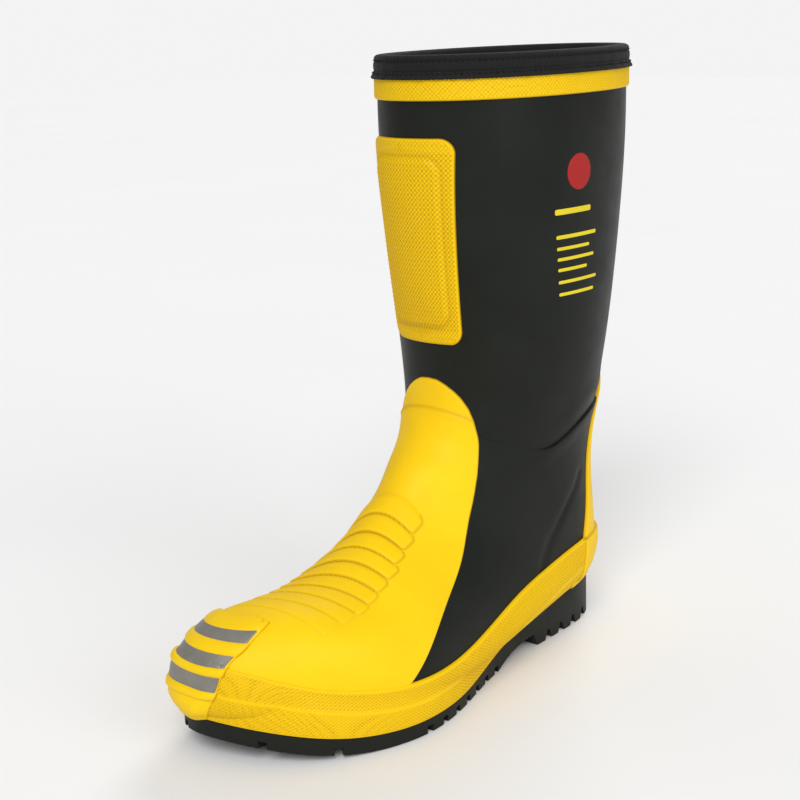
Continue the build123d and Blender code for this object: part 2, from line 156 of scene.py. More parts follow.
def foot(t, q, out):
    """Points on the foot surface moved out by a distance. t counts the sections from the rim to the
    toe; q runs round a section: 0 at the back or sole, 1 outer side, 2 front or instep, 3 inner side."""
    t, q, out = np.broadcast_arrays(np.asarray(t, float), np.asarray(q, float), np.asarray(out, float))
    row = natural_spline(np.arange(len(ROWS)), ROWS, np.clip(t, 0, LAST))
    back_x, back_z, front_x, front_z, outer, inner, widest, low, centre, share = np.moveaxis(row, -1, 0)
    depth = np.hypot(front_x - back_x, front_z - back_z)
    run, rise = (front_x - back_x) / depth, (front_z - back_z) / depth
    deep = depth + 2 * out
    wide = deep * widest
    left, right = centre + outer + out, centre - inner - out
    low_x, high_x = wide - low * wide, wide + TOP_FULLNESS * (deep - wide)
    side = np.where((q % 4) < 2, left, right)
    low_side = centre + low * (side - centre)
    high_side = centre + TOP_FULLNESS * (side - centre)
    quarter = np.floor(q).astype(int) % 4
    f = q - np.floor(q)
    zero = np.zeros_like(deep)
    across = np.choose(quarter, [
        bezier(zero, zero, low_x, wide, f), bezier(wide, high_x, deep, deep, f),
        bezier(deep, deep, high_x, wide, f), bezier(wide, low_x, zero, zero, f)])
    sideways = np.choose(quarter, [
        bezier(centre, low_side, side, side, f), bezier(side, side, high_side, centre, f),
        bezier(centre, high_side, side, side, f), bezier(side, side, low_side, centre, f)])
    x = back_x - run * out + share * out + run * across
    z = back_z - rise * out + rise * across
    return np.stack([x, sideways, z], -1)


def lip(distance, radius):
    """Rises from 0 at an edge to 1, along a quarter circle."""
    s = np.clip(distance / radius, 0, 1)
    return np.sqrt(np.clip(1 - (1 - s) ** 2, 0, 1))


def smooth_step(value, low, high):
    """Rises smoothly from 0 at low to 1 at high."""
    s = np.clip((value - low) / (high - low), 0, 1)
    return s * s * (3 - 2 * s)


def gaussian(value, width):
    """A bell curve of height 1 round 0."""
    return np.exp(-(value / width) ** 2)


def edge_shade(distance):
    """Painted shade: a dark line along the edge of a yellow layer."""
    return 0.8 * gaussian(distance, 0.5)


def distance_to(curve, x, z):
    """Distance in the side view from points to a dense curve."""
    nearest = np.full(np.shape(x), 1e9)
    for a, b in zip(curve, curve[1:]):
        along = b - a
        s = np.clip(((x - a[0]) * along[0] + (z - a[1]) * along[1]) / along.dot(along), 0, 1)
        nearest = np.minimum(nearest, np.hypot(x - a[0] - s * along[0], z - a[1] - s * along[1]))
    return nearest


def knurl(u, v, pitch, height):
    """Small raised diamonds between two sets of crossing grooves."""
    a = np.abs(np.sin(math.pi * (u + v) / pitch))
    b = np.abs(np.sin(math.pi * (u - v) / pitch))
    return height * np.minimum(a, b) ** 0.8


def knurl_shade(share):
    """How much painted shade the grooves between the diamonds get, from the height as a share of the full
    one.
    """
    return 1 - np.clip(share * 1.8, 0, 1)


def arc_lengths(points, axis):
    """Distance travelled along one axis of a grid of points."""
    legs = np.linalg.norm(np.diff(points, axis=axis), axis=-1)
    start = np.zeros_like(np.take(legs, [0], axis=axis))
    return np.concatenate([start, np.cumsum(legs, axis=axis)], axis=axis)


def from_ends(points, axis):
    """Distance along one axis of a grid of points from the nearer of its two ends."""
    gone = arc_lengths(points, axis)
    return np.minimum(gone, np.take(gone, [-1], axis=axis) - gone)


LIP_STEPS = np.array([0, 0.12, 0.3, 0.55, 0.9, 1.3, 1.8])
HIDDEN_SPACING = 4.0  # between rows that lie under other pieces


def rows_between(q, first, last, spacing, lip_start=True, fine_length=None):
    """Rows of t for each column q, from first to last: close together at the lip where they start,
    and far apart beyond the fine length, where one is given."""
    samples = np.linspace(0, 1, 300)[:, None]
    t = first[None, :] + (last - first)[None, :] * samples
    length = arc_lengths(foot(t, q[None, :], 0), 0)
    total = length[-1]
    start = LIP_STEPS if lip_start else np.array([0.0])
    if fine_length is None:
        count = max(3, int(round((total.max() - start[-1]) / spacing)))
        share = np.linspace(0, 1, count + 1)[1:-1]
    else:
        fine = fine_length / total.max()
        far = np.linspace(fine, 1, int((total.max() - fine_length) / HIDDEN_SPACING))[1:-1]
        share = np.concatenate([np.linspace(0, fine, int(fine_length / spacing))[1:], far])
    body = start[-1] + share[:, None] * (total - start[-1])[None, :]
    wanted = np.concatenate([start[:, None] + 0 * total, body, total[None, :]])
    rows = [np.interp(wanted[:, c], length[:, c], t[:, c]) for c in range(len(q))]
    return np.stack(rows, 1)


def crossing(q, first, last, count, inside):
    """For each column q, the t between first and last where the foot surface comes inside an edge."""
    t = np.linspace(first, last, count)
    value = inside(foot(t[:, None], q[None, :], 0))
    edge = np.empty(len(q))
    for c, column in enumerate(value.T):
        change = np.nonzero((column[:-1] < 0) & (column[1:] >= 0))[0]
        i = change[0] if len(change) else 0
        low, high = column[i], column[i + 1]
        edge[c] = t[i] + (t[i + 1] - t[i]) * (-low / (high - low) if high > low else 0)
    return edge


# ---- meshes ----
upper_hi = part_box("upper")[1]
RIM_CUT = 1.8  # how far below the rim the upper ends, under the binding
DESIGN_TO_ROW = np.array([
    upper_hi[0] * 1000 - max(SECTIONS[-1][0], SECTIONS[-1][2]),
    upper_hi[1] * 1000 - (SECTIONS[1][4] + SECTIONS[1][8]),
    upper_hi[2] * 1000 - (RIM_HEIGHT - RIM_CUT),
])


def to_row(points):
    """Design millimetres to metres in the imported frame."""
    return (np.asarray(points, float) + DESIGN_TO_ROW) / 1000


def add_object(name, data):
    """A new object in the scene."""
    thing = bpy.data.objects.new(name, data)
    bpy.context.scene.collection.objects.link(thing)
    return thing


def ring_faces(rows, cols, wrap):
    """Faces of a tube whose rows close on themselves; its columns close too, or end in caps."""
    faces = []
    for r in range(rows):
        below_row = (r + 1) % rows
        for c in range(cols if wrap else cols - 1):
            right = (c + 1) % cols
            faces.append((r * cols + c, r * cols + right, below_row * cols + right, below_row * cols + c))
    if not wrap:
        faces.append(tuple(r * cols for r in range(rows)))
        faces.append(tuple(r * cols + cols - 1 for r in reversed(range(rows))))
    return faces


def closed(outer, inner, wrap, painted_shade):
    """A closed solid from its outer and inner faces, given as grids with the same columns: its points,
    its faces, and how much painted shade each point gets, 0 to 1, half on the inner face."""
    grid = np.concatenate([outer, inner[::-1]])
    rows, cols = grid.shape[:2]
    verts = grid.reshape(-1, 3)
    faces = ring_faces(rows, cols, wrap)
    quads = np.array([face for face in faces if len(face) == 4])
    a, b, c, d = (verts[quads[:, i]] - verts.mean(0) for i in range(4))
    volume = np.einsum("ij,ij->", a, np.cross(b, c) + np.cross(c, d))
    if volume < 0:
        faces = [face[::-1] for face in faces]
    return verts, faces, np.concatenate([painted_shade.ravel(), np.full(inner.shape[0] * cols, 0.5)])


def joined(name, parts, material, nodes):
    """One finished piece that rides on the boot, made of one or more closed solids."""
    faces, start = [], 0
    for part_verts, part_faces, _ in parts:
        faces += [tuple(i + start for i in face) for face in part_faces]
        start += len(part_verts)
    verts, painted_shade = (np.concatenate([part[i] for part in parts]) for i in (0, 2))
    mesh = bpy.data.meshes.new(name)
    mesh.from_pydata([tuple(v) for v in to_row(verts)], [], faces)
    layer = mesh.attributes.new("painted_shade", "FLOAT", "POINT")
    layer.data.foreach_set("value", np.clip(painted_shade, 0, 1))
    mesh.validate()
    mesh.shade_smooth()
    mesh.materials.append(material)
    piece = add_object(name, mesh)
    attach(piece, "root")
    if nodes:
        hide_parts(*nodes)


def ring_solid(name, outer, inner, wrap, material, nodes, painted_shade):
    joined(name, [closed(outer, inner, wrap, painted_shade)], material, nodes)


def stride(count, wanted):
    """Indices of some rows, the first and the last among them."""
    return np.unique(np.linspace(0, count - 1, wanted).round().astype(int))


def grid_normals(points, wrap):
    """Unit normals of a grid of points."""
    down = np.gradient(points, axis=0)
    if wrap:
        sideways = (np.roll(points, -1, 1) - np.roll(points, 1, 1)) / 2
    else:
        sideways = np.gradient(points, axis=1)
    normal = np.cross(down, sideways)
    return normal / np.maximum(np.linalg.norm(normal, axis=-1, keepdims=True), 1e-9)


# ---- materials ----
def wire(tree, node, inputs):
    """Gives each input of a node a value, or a link from a socket."""
    for name, value in inputs.items():
        if isinstance(value, bpy.types.NodeSocket):
            tree.links.new(value, node.inputs[name])
        else:
            node.inputs[name].default_value = value
    return node


def add_node(tree, kind, inputs):
    return wire(tree, tree.nodes.new("ShaderNode" + kind), inputs)


def new_material(name):
    """A material, its node tree, its shader and the place on the piece that patterns are read at."""
    material = bpy.data.materials.new(name)
    material.use_nodes = True
    tree = material.node_tree
    place = tree.nodes.new("ShaderNodeTexCoord").outputs["Object"]
    return material, tree, tree.nodes["Principled BSDF"], place


def noise(tree, place, scale, detail=3.0, roughness=0.55):
    inputs = {"Scale": scale, "Detail": detail, "Roughness": roughness, "Vector": place}
    return add_node(tree, "TexNoise", inputs).outputs["Fac"]


def mix(tree, factor, a, b):
    """Mixes two colours; a and b are sockets or plain colours."""
    node = tree.nodes.new("ShaderNodeMix")
    node.data_type = "RGBA"
    sockets = [s for s in node.inputs if s.type == "RGBA"]
    for socket, value in zip(sockets, (a, b)):
        if isinstance(value, tuple):
            socket.default_value = (*value, 1)
        else:
            tree.links.new(value, socket)
    tree.links.new(factor, node.inputs["Factor"])
    return [s for s in node.outputs if s.type == "RGBA"][0]


def scaled(tree, source, factor, add=0.0):
    node = tree.nodes.new("ShaderNodeMath")
    node.operation = "MULTIPLY_ADD"
    return wire(tree, node, {0: source, 1: factor, 2: add}).outputs[0]


def bump(tree, shader, layers):
    """Stacks bumps; each layer is (height socket, depth in metres, strength)."""
    below = {}
    for height, depth, strength in layers:
        inputs = {"Height": height, "Distance": depth, "Strength": strength}
        below = {"Normal": add_node(tree, "Bump", inputs | below).outputs["Normal"]}
    wire(tree, shader, below)


def rubber(name, colour, shade, painted_shade_colour, roughness, grain_depth, grain_scale=1400.0, gloss=0.5):
    """Moulded rubber: pebbled grain, cloudy colour, painted shade in hollows and along edges, and a few
    scuffs.
    """
    material, tree, shader, place = new_material(name)
    cloud = noise(tree, place, 22.0)
    grain = noise(tree, place, grain_scale, 4.0, 0.6)
    scuffs = add_node(tree, "ValToRGB", {"Fac": noise(tree, place, 420.0, 2.0)})
    for element, position, level in zip(scuffs.color_ramp.elements, (0.60, 0.78), (0.0, 0.35)):
        element.position = position
        element.color = (level, level, level, 1)
    # painted shade: each piece's per-point attribute mixes the colour towards its painted shade colour
    painted_shade = tree.nodes.new("ShaderNodeAttribute")
    painted_shade.attribute_name = "painted_shade"
    base = mix(tree, scaled(tree, cloud, 1.6, -0.3), colour, shade)
    base = mix(tree, scuffs.outputs["Color"], base, shade)
    base = mix(tree, painted_shade.outputs["Fac"], base, painted_shade_colour)
    rough = scaled(tree, noise(tree, place, 60.0), 0.22, roughness - 0.11)
    wire(tree, shader, {"Base Color": base, "Roughness": rough, "Specular IOR Level": gloss})
    bump(tree, shader, [(cloud, 0.0012, 0.25), (grain, grain_depth, 0.55)])
    return material


def cloth(name, colour, shade, roughness, weave=1700.0, depth=0.00018):
    """Close woven or knitted tape: two crossing thread directions and a dusty sheen."""
    material, tree, shader, place = new_material(name)
    threads = []
    for turn in (0.7, -0.7):
        aim = add_node(tree, "Mapping", {"Rotation": (0.3, turn, 0.4), "Vector": place})
        wave = {"Scale": weave / 6, "Distortion": 1.2, "Detail": 1.0, "Vector": aim.outputs["Vector"]}
        threads.append(add_node(tree, "TexWave", wave).outputs["Fac"])
    base = mix(tree, noise(tree, place, 90.0), colour, shade)
    base = mix(tree, scaled(tree, threads[0], 0.5), base, shade)
    wire(tree, shader, {"Base Color": base, "Roughness": roughness, "Sheen Weight": 0.03,
                        "Specular IOR Level": 0.12, "Sheen Roughness": 0.6})
    bump(tree, shader, [(height, depth, 0.7) for height in threads])
    return material


def metal(name, colour, roughness):
    """Rolled sheet steel with a fine direction to its scratches."""
    material, tree, shader, place = new_material(name)
    aim = add_node(tree, "Mapping", {"Scale": (1, 30, 30), "Vector": place})
    scratch = add_node(tree, "TexNoise", {"Scale": 60, "Vector": aim.outputs["Vector"]}).outputs["Fac"]
    base = mix(tree, scratch, colour, tuple(0.8 * c for c in colour))
    wire(tree, shader, {"Base Color": base, "Metallic": 1.0, "Roughness": roughness})
    bump(tree, shader, [(scratch, 0.0001, 0.3)])
    return material


def reflective(name):
    """Glass-bead tape: dull silver grey with a fine sparkle."""
    material, tree, shader, place = new_material(name)
    bead = add_node(tree, "TexVoronoi", {"Scale": 2200, "Vector": place}).outputs["Distance"]
    base = mix(tree, noise(tree, place, 150.0), (0.20, 0.195, 0.165), (0.30, 0.29, 0.25))
    base = mix(tree, scaled(tree, bead, 0.6), base, (0.13, 0.125, 0.11))
    wire(tree, shader, {"Base Color": base, "Roughness": 0.42, "Metallic": 0.25})
    bump(tree, shader, [(bead, 0.0001, 0.5)])
    return material


# Each rubber's darkest colour below is painted shade for its grooves, layer edges and creases.
YELLOW = (0.93, 0.62, 0.004)
YELLOW_SHADE = (0.83, 0.51, 0.003)
YELLOW_PAINTED_SHADE = (0.36, 0.185, 0.001)
YELLOW_WALL = (0.88, 0.57, 0.003)
KNURL_PAINTED_SHADE = (0.37, 0.195, 0.001)
BLACK = (0.0078, 0.0090, 0.0068)
BLACK_SHADE = (0.0130, 0.0148, 0.0120)
BLACK_PAINTED_SHADE = (0.003, 0.0035, 0.003)

yellow_rubber = rubber("yellow_rubber", YELLOW, YELLOW_SHADE, YELLOW_PAINTED_SHADE, 0.50, 0.00016, gloss=0.16)
yellow_knurled = rubber("yellow_knurled", YELLOW_WALL, YELLOW_SHADE, KNURL_PAINTED_SHADE, 0.50, 0.00008,
                        gloss=0.14)
black_rubber = rubber("black_rubber", BLACK, BLACK_SHADE, BLACK_PAINTED_SHADE, 0.43, 0.00014, 1100.0, 0.13)
sole_rubber = rubber("sole_rubber", BLACK, BLACK_SHADE, BLACK_PAINTED_SHADE, 0.5, 0.00012, gloss=0.14)
sponge_rubber = rubber("sponge_rubber", (0.05,) * 3, (0.07,) * 3, (0.03,) * 3, 0.8, 0.0004)
grey_rubber = rubber("grey_rubber", (0.15,) * 3, (0.19,) * 3, (0.1,) * 3, 0.7, 0.0002)
fibre_board = rubber("fibre_board", (0.30, 0.22, 0.14), (0.38, 0.29, 0.19), (0.2, 0.15, 0.1), 0.8, 0.0003,
                     500.0)
red_print = rubber("red_print", (0.42, 0.020, 0.018), (0.32, 0.016, 0.014), (0.2, 0.01, 0.01), 0.45,
                   0.00005, gloss=0.15)
yellow_print = rubber("yellow_print", (0.80, 0.66, 0.02), (0.66, 0.52, 0.02), (0.4, 0.3, 0.01), 0.45,
                      0.00005, gloss=0.15)
black_tape = cloth("black_tape", (0.0065, 0.0068, 0.0066), (0.013, 0.0133, 0.0128), 0.72)
thread = cloth("thread", (0.004, 0.004, 0.004), (0.010, 0.010, 0.010), 0.6, 3000.0, 0.0001)
lining_knit = cloth("lining_knit", (0.085, 0.085, 0.08), (0.12, 0.12, 0.115), 0.9, 900.0, 0.0003)
felt = cloth("felt", (0.09, 0.10, 0.11), (0.13, 0.14, 0.15), 0.95, 700.0, 0.0003)
plate_steel = metal("plate_steel", (0.62, 0.62, 0.63), 0.32)
cap_steel = metal("cap_steel", (0.10, 0.10, 0.105), 0.45)
reflective_tape = reflective("reflective_tape")


# ---- the leg and upper ----
def gentle_noise(points, scale, seed):
    """Slow waves in space, from -1 to 1, that make a moulded surface look less perfect."""
    random = np.random.default_rng(seed)
    total = np.zeros(points.shape[:-1])
    for _ in range(6):
        direction = random.normal(size=3)
        direction /= np.linalg.norm(direction)
        total += np.sin(points @ direction / scale * random.uniform(0.7, 1.5) + random.uniform(0, 6.28))
    return total / 6


counter_curve = dense(COUNTER_EDGE)
vamp_curve = dense(VAMP_EDGE)
stay_curve = dense(STAY_EDGE)


def above_ply(points):
    """Height of points above the upper edge of the ply round the ankle."""
    return points[..., 2] - along_x(LAYER_EDGE, np.clip(points[..., 0], -40, 165))


def leg_waves(points):
    """The slightly uneven face of the leg, which is even again at the rim."""
    return 0.7 * gentle_noise(points, 26, 3) * smooth_step(points[..., 2], 345, 320)


def make_upper():
    """The black leg and quarters, one closed shell down to the toe."""
    columns = 280
    q = np.linspace(0, 4, columns + 1)[:-1]
    t = rows_between(q, np.full(columns, RIM_CUT / RIM_SPAN), np.full(columns, LAST - 0.02), 1.6,
                     lip_start=False, fine_length=215)
    points = foot(t, q[None, :], 0)
    fold = gaussian(above_ply(points) - 9, 8) * smooth_step(points[..., 0], 110, 60)
    waves = leg_waves(points)
    outer = foot(t, q[None, :], waves * smooth_step(points[..., 2], 100, 140) + 0.9 * fold)
    back = stride(len(t), 60)
    inner = foot(t[back], q[None, :], UPPER_IN)
    ring_solid("boot_upper", outer, inner, True, black_rubber, ("upper",),
               np.zeros(t.shape))


def make_outer_ply():
    """The black ply round the ankle and the quarters, with its edge rolled against the leg."""
    columns = 300
    q = np.linspace(0, 4, columns + 1)[:-1]
    start = crossing(q, 3.2, 7.5, 400, lambda points: -above_ply(points))
    t = rows_between(q, start, np.full(columns, LAST - 0.05), 1.5, fine_length=190)
    base = foot(t, q[None, :], 0)
    edge = arc_lengths(base, 0)
    x, z = base[..., 0], base[..., 2]
    strength = smooth_step(x, 100, 76) * (0.5 + 0.5 * smooth_step(x, -10, 30))
    strength = strength + 0.3 * smooth_step(x, 108, 122)
    rise = LAYER_OUT * (strength * lip(edge, 1.8) + (1 - strength) * smooth_step(edge, 0, 12))
    rise = rise + 0.6 * strength * (lip(edge, 1.8) - smooth_step(edge, 3, 14))
    dip = distance_to(counter_curve[40:], x, z)
    side = smooth_step(np.abs(base[..., 1]), 18, 34)
    groove = gaussian(dip, 3.2) * side * smooth_step(z, 118, 100)
    rise = rise - 0.75 * groove + 0.35 * gentle_noise(base, 22, 5) * smooth_step(edge, 2, 12)
    rise = np.where(edge < 0.05, -0.1 - 0.3 * strength, rise)
    covered = smooth_step(inside_vamp(base), 3, 8)
    rise = rise * (1 - covered) - 0.3 * covered
    outer = foot(t, q[None, :], rise)
    back = stride(len(t), 50)
    inner = foot(t[back], q[None, :], -TUCK - 0.1)
    # painted shade along the ply's rolled edge and in the groove along the counter
    painted_dark = gaussian(edge, 0.9) * strength + 0.35 * groove
    ring_solid("ankle_ply", outer, inner, True, black_rubber, ("outer_ply",), painted_dark)


# ---- the vamp with its instep ribs ----
# each rib's outer end seen from above, and its height
RIB_ENDS = [(171, 20), (181, 22), (191, 24), (200, 27), (210, 28), (219, 29), (228, 30), (238, 29),
            (250, 27)]
RIB_HEIGHTS = [1.7, 1.9, 1.9, 1.8, 1.7, 1.5, 1.2, 0.8, 0.45]
RIB_TURN = math.radians(10)
RIB_REACH = 56  # length of a rib across the instep
RIB_CORNER = 2.4


def rounded_inside(across, along, size, corner):
    """Distance in from the edge of a rounded rectangle, positive inside."""
    a = np.abs(across) - size[0] / 2 + corner
    b = np.abs(along) - size[1] / 2 + corner
    return -(np.hypot(np.maximum(a, 0), np.maximum(b, 0)) + np.minimum(np.maximum(a, b), 0) - corner)


def rib_field(points):
    """Height of the instep ribs, and the painted shade in the grooves between them and round their ends."""
    x, y = points[..., 0], points[..., 1]
    forward = x * math.cos(RIB_TURN) + y * math.sin(RIB_TURN)
    middles = [px * math.cos(RIB_TURN) + py * math.sin(RIB_TURN) for px, py in RIB_ENDS]
    height = np.zeros(x.shape)
    painted_dark = np.zeros(x.shape)
    for i, ((_, end_y), middle, top) in enumerate(zip(RIB_ENDS, middles, RIB_HEIGHTS)):
        pitch = middles[min(i + 1, len(middles) - 1)] - middles[min(i, len(middles) - 2)]
        half = 0.5 * pitch
        across = y - (end_y - RIB_REACH / 2)
        beyond = -rounded_inside(forward - middle, across, (pitch, RIB_REACH), RIB_CORNER)
        rise = top * lip(-beyond, RIB_CORNER) * (1 + 0.22 * np.clip((forward - middle) / half, -1, 1))
        height = np.maximum(height, rise)
        past_end = np.abs(across) - RIB_REACH / 2
        line = gaussian(forward - middle - half, 0.55) * smooth_step(past_end, 0.5, -2.5) * top / 1.9
        height -= 0.45 * line * (i < len(middles) - 1)
        # painted shade: a dark line in each groove and round each rib's end
        painted_dark = np.maximum(painted_dark, 0.85 * line)
        end_line = gaussian(beyond, 0.5) * (past_end > -RIB_CORNER) * top / 1.9
        painted_dark = np.maximum(painted_dark, 0.5 * end_line)
    return height, painted_dark


VAMP_LINE = [(165, 159), (138, 157), (129, 150), (120, 146)]  # a step across the tongue, from the side
VAMP_TOP = [(0, 174), (6, 173.4), (11, 171), (16, 167.5), (20, 163.5), (24, 157.5), (27, 150), (29, 140),
            (60, 60)]  # half of the tongue's edge, from the front
TONGUE = 146  # above this height the vamp's edge is read from the front, below it from the side


def edge_distance(points, edge, reach):
    """Distance of each point of a grid from a line of points, up to a reach."""
    shares = np.linspace(0, 1, 7)[:-1, None]
    fine = np.concatenate([a + (b - a) * shares for a, b in zip(edge, edge[1:])] + [edge[-1:]])
    tree = KDTree(len(fine))
    for i, point in enumerate(fine):
        tree.insert(point, i)
    tree.balance()
    distance = np.full(points.shape[:-1], reach)
    for index in np.ndindex(distance.shape):
        near = tree.find(points[index])[2]
        distance[index] = min(near, reach)
    return distance


def inside_vamp(points):
    """How far points of the foot surface lie inside the vamp's edge; negative outside it."""
    x, y, z = np.moveaxis(points, -1, 0)
    top = np.interp(np.abs(y + 0.5), [p[0] for p in VAMP_TOP], [p[1] for p in VAMP_TOP])
    side = np.interp(z, vamp_curve[::-1, 1], vamp_curve[::-1, 0])
    return np.where(z > TONGUE, top - z, x - side)


def make_vamp():
    """The yellow vamp with its tongue and instep ribs."""
    columns = 320
    q = np.linspace(0.72, 3.28, columns)
    start = crossing(q, 3.4, 14.0, 500, inside_vamp)
    kernel = np.array([1, 3, 4, 3, 1]) / 12
    start = np.convolve(np.pad(start, 2, mode="edge"), kernel, mode="valid")
    t = rows_between(q, start, np.full(columns, LAST - 0.02), 1.0)
    base = foot(t, q[None, :], 0)
    near, reach = 45, 12.0  # the rows that can lie near the edge, and the distance beyond which none matters
    edge = np.full(t.shape, reach)
    edge[:near] = edge_distance(base[:near], base[0], reach)
    ribs, painted_dark = rib_field(base)
    line = along_x(VAMP_LINE[::-1], np.clip(base[..., 0], 120, 165)) - base[..., 2]
    step = 0.55 * smooth_step(line, -0.6, 0.9) + 0.45 * gaussian(line - 1.0, 1.3) - 0.55
    step = np.where(base[..., 0] < 175, step, 0) * smooth_step(base[..., 0], 175, 160)
    hollow_zone = -0.7 * gaussian(base[..., 2] - 141, 6) * smooth_step(np.abs(base[..., 1]), 26, 8)
    waves = 0.35 * gentle_noise(base, 20, 11)
    rise = (VAMP_OUT + step + hollow_zone + waves) * lip(edge, 1.5)
    rise = rise + ribs * smooth_step(base[..., 0], 150, 165)
    rise[0] = -TUCK
    outer = foot(t, q[None, :], rise)
    back = stride(len(t), 60)
    inner = foot(t[back], q[None, :], -TUCK - 0.05)
    # painted shade: the rib grooves, the vamp's edge and a band just below the step across the tongue
    shade = np.maximum(painted_dark, edge_shade(edge))
    shade = np.maximum(shade, 0.35 * gaussian(line + 1.2, 1.2) * (base[..., 0] < 170))
    ring_solid("vamp_shell", outer, inner, False, yellow_rubber, ("vamp",), shade)


def make_heel_strip():
    """The yellow strip up the back of the heel."""
    rows = np.linspace(3.98, 8.6, 150)
    table = np.linspace(0.0, 1.3, 200)
    half = []
    for t in rows:
        points = foot(t, table, 0)
        side = np.interp(points[:, 2], stay_curve[::-1, 1], stay_curve[::-1, 0])
        beyond = np.nonzero(points[:, 0] > side)[0]
        half.append(table[beyond[0]] if len(beyond) and beyond[0] > 0 else table[1])
    half = np.convolve(np.pad(half, 2, mode="edge"), np.ones(5) / 5, mode="valid")
    across = np.concatenate([[-1, -0.985, -0.96, -0.93, -0.89], np.linspace(-0.84, 0.84, 50),
                             [0.89, 0.93, 0.96, 0.985, 1]])
    q = half[:, None] * across[None, :]
    t = np.broadcast_to(rows[:, None], q.shape)
    base = foot(t, q, 0)
    edge = arc_lengths(base, 0) * 0.9
    for end in (base[:, :1], base[:, -1:]):
        edge = np.minimum(edge, np.linalg.norm(base - end, axis=-1))
    rise = LAYER_OUT - 0.3 + (STAY_OUT - LAYER_OUT + 0.5) * lip(edge, 1.6)
    rise = np.where(edge < 0.02, LAYER_OUT - 0.6 - 1.0 * (base[..., 2] > 150), rise)
    outer = foot(t, q, rise)
    back = stride(len(rows), 30)
    inner = foot(t[back], q[back], np.full(q[back].shape, -TUCK - 0.2))
    ring_solid("heel_strip_rubber", outer, inner, False, yellow_rubber, ("heel_strip",),
               edge_shade(edge))


# ---- the foxing and the heel patch ----
STATIONS = 1540  # points round the sole; a knurl diamond takes five
KNURL_HEIGHT = 0.52
RAY_START = 45  # rays towards the foot start this far outside the sole's outline
WALL_COVER = 0.4  # how much thinner the foxing may be below its crease, where the foot bulges over the sole


def grid_tree(points, chosen, caps=()):
    """A search tree over the chosen columns of a grid of points that closes on itself, and its caps."""
    rows, cols = points.shape[:2]
    faces = []
    for r in range(rows - 1):
        for c in chosen:
            right = (c + 1) % cols
            faces.append((r * cols + c, r * cols + right, (r + 1) * cols + right, (r + 1) * cols + c))
    faces += caps
    return BVHTree.FromPolygons([tuple(p) for p in points.reshape(-1, 3)], faces)


def surface_tree(out):
    """The whole foot surface, moved out, for finding points on it."""
    q = np.linspace(0, 4, 301)[:-1]
    t = np.linspace(0, LAST, 500)
    tip = tuple((len(t) - 1) * len(q) + c for c in range(len(q)))
    return grid_tree(foot(t[:, None], q[None, :], out), range(len(q)), [tip])


def closed_outline(count):
    """Evenly spaced points on the closed sole outline, and their outward normals."""
    points = np.array(SOLE_OUTLINE * 3 + SOLE_OUTLINE[:1], float)
    knots = np.concatenate([[0], np.cumsum(np.linalg.norm(np.diff(points, axis=0), axis=1))])
    first, last = knots[len(SOLE_OUTLINE)], knots[2 * len(SOLE_OUTLINE)]
    places = np.linspace(first, last, count + 1)[:-1]
    path = natural_spline(knots, points, places)
    forward = np.roll(path, -1, 0) - np.roll(path, 1, 0)
    forward /= np.linalg.norm(forward, axis=1)[:, None]
    return path, np.stack([-forward[:, 1], forward[:, 0]], 1), (last - first)


def smoothed(values):
    """Evens out values that go round the sole."""
    kernel = np.hanning(33)
    half = len(kernel) // 2
    around = np.concatenate([values[-half:], values, values[:half]])
    return np.convolve(around, kernel / kernel.sum(), "valid")


def foxing_profile(path, outward, tree):
    """Points of the foxing's outer face, one row for each height share from its top to the sole."""
    split = 0.52  # the share of the rows above the crease
    share = np.concatenate([np.linspace(0, split, 44), np.linspace(split, 1, 40)[1:]])
    coarse = slice(None, None, 7)
    some, aims = path[coarse], outward[coarse]
    x = some[:, 0]
    bottom, crease = along_x(SOLE_TOP, x), along_x(CREASE, x)

    def reach_at(z, missing):
        """How far inside the outline the foot surface is at each of the coarse stations."""
        found = np.array(missing, float)
        for c, (place, aim) in enumerate(zip(some, aims)):
            start = Vector((*(place + aim * RAY_START), z[c]))
            hit = tree.ray_cast(start, Vector((*(-aim), 0)), 2 * RAY_START)
            if hit[0] is not None:
                found[c] = (hit[0] - start).length - RAY_START
        return found

    def all_round(values):
        """Values at the coarse stations, spread over all stations and evened out."""
        knots = np.append(np.arange(len(path))[coarse], len(path))
        return smoothed(np.interp(np.arange(len(path)), knots, np.append(values, values[0])))

    heights = np.linspace(0, 1, 24)
    reach = np.zeros((len(heights), len(x)))
    top_x = x.copy()
    for _ in range(3):
        top = along_x(FOXING_TOP, top_x)
        for i, h in enumerate(heights):
            reach[i] = reach_at(crease + (top - crease) * h, reach[max(i - 1, 0)])
        top_x = x - aims[:, 0] * reach[-1]
    depths = np.linspace(0, 1, 10)
    low_reach = [reach_at(crease + (bottom - crease) * h, np.full(len(x), 20)) for h in depths]
    reach, low_reach = np.stack([all_round(r) for r in reach]), np.stack([all_round(r) for r in low_reach])
    top = all_round(top)
    bottom, crease = along_x(SOLE_TOP, path[:, 0]), along_x(CREASE, path[:, 0])
    points = np.empty((len(share), len(path), 3))
    for i, s in enumerate(share):
        if s <= split:
            h = 1 - s / split
            z = crease + (top - crease) * h
            inward = np.stack([np.interp(h, heights, column) for column in reach.T])
            free = smooth_step((z - crease) / 9.0, 0.0, 1.0)
            inward = inward * free + np.minimum(0, inward + WALL_COVER) * (1 - free)
        else:
            h = (s - split) / (1 - split)
            z = crease + (bottom - crease) * h
            covering = np.stack([np.interp(h, depths, column) for column in low_reach.T]) + WALL_COVER
            inward = np.minimum(-0.5 * math.sin(math.pi * h), covering)
        points[i, :, :2] = path - outward * inward[:, None]
        points[i, :, 2] = z
    return points, split, share


HEEL_PATCH_END = 42


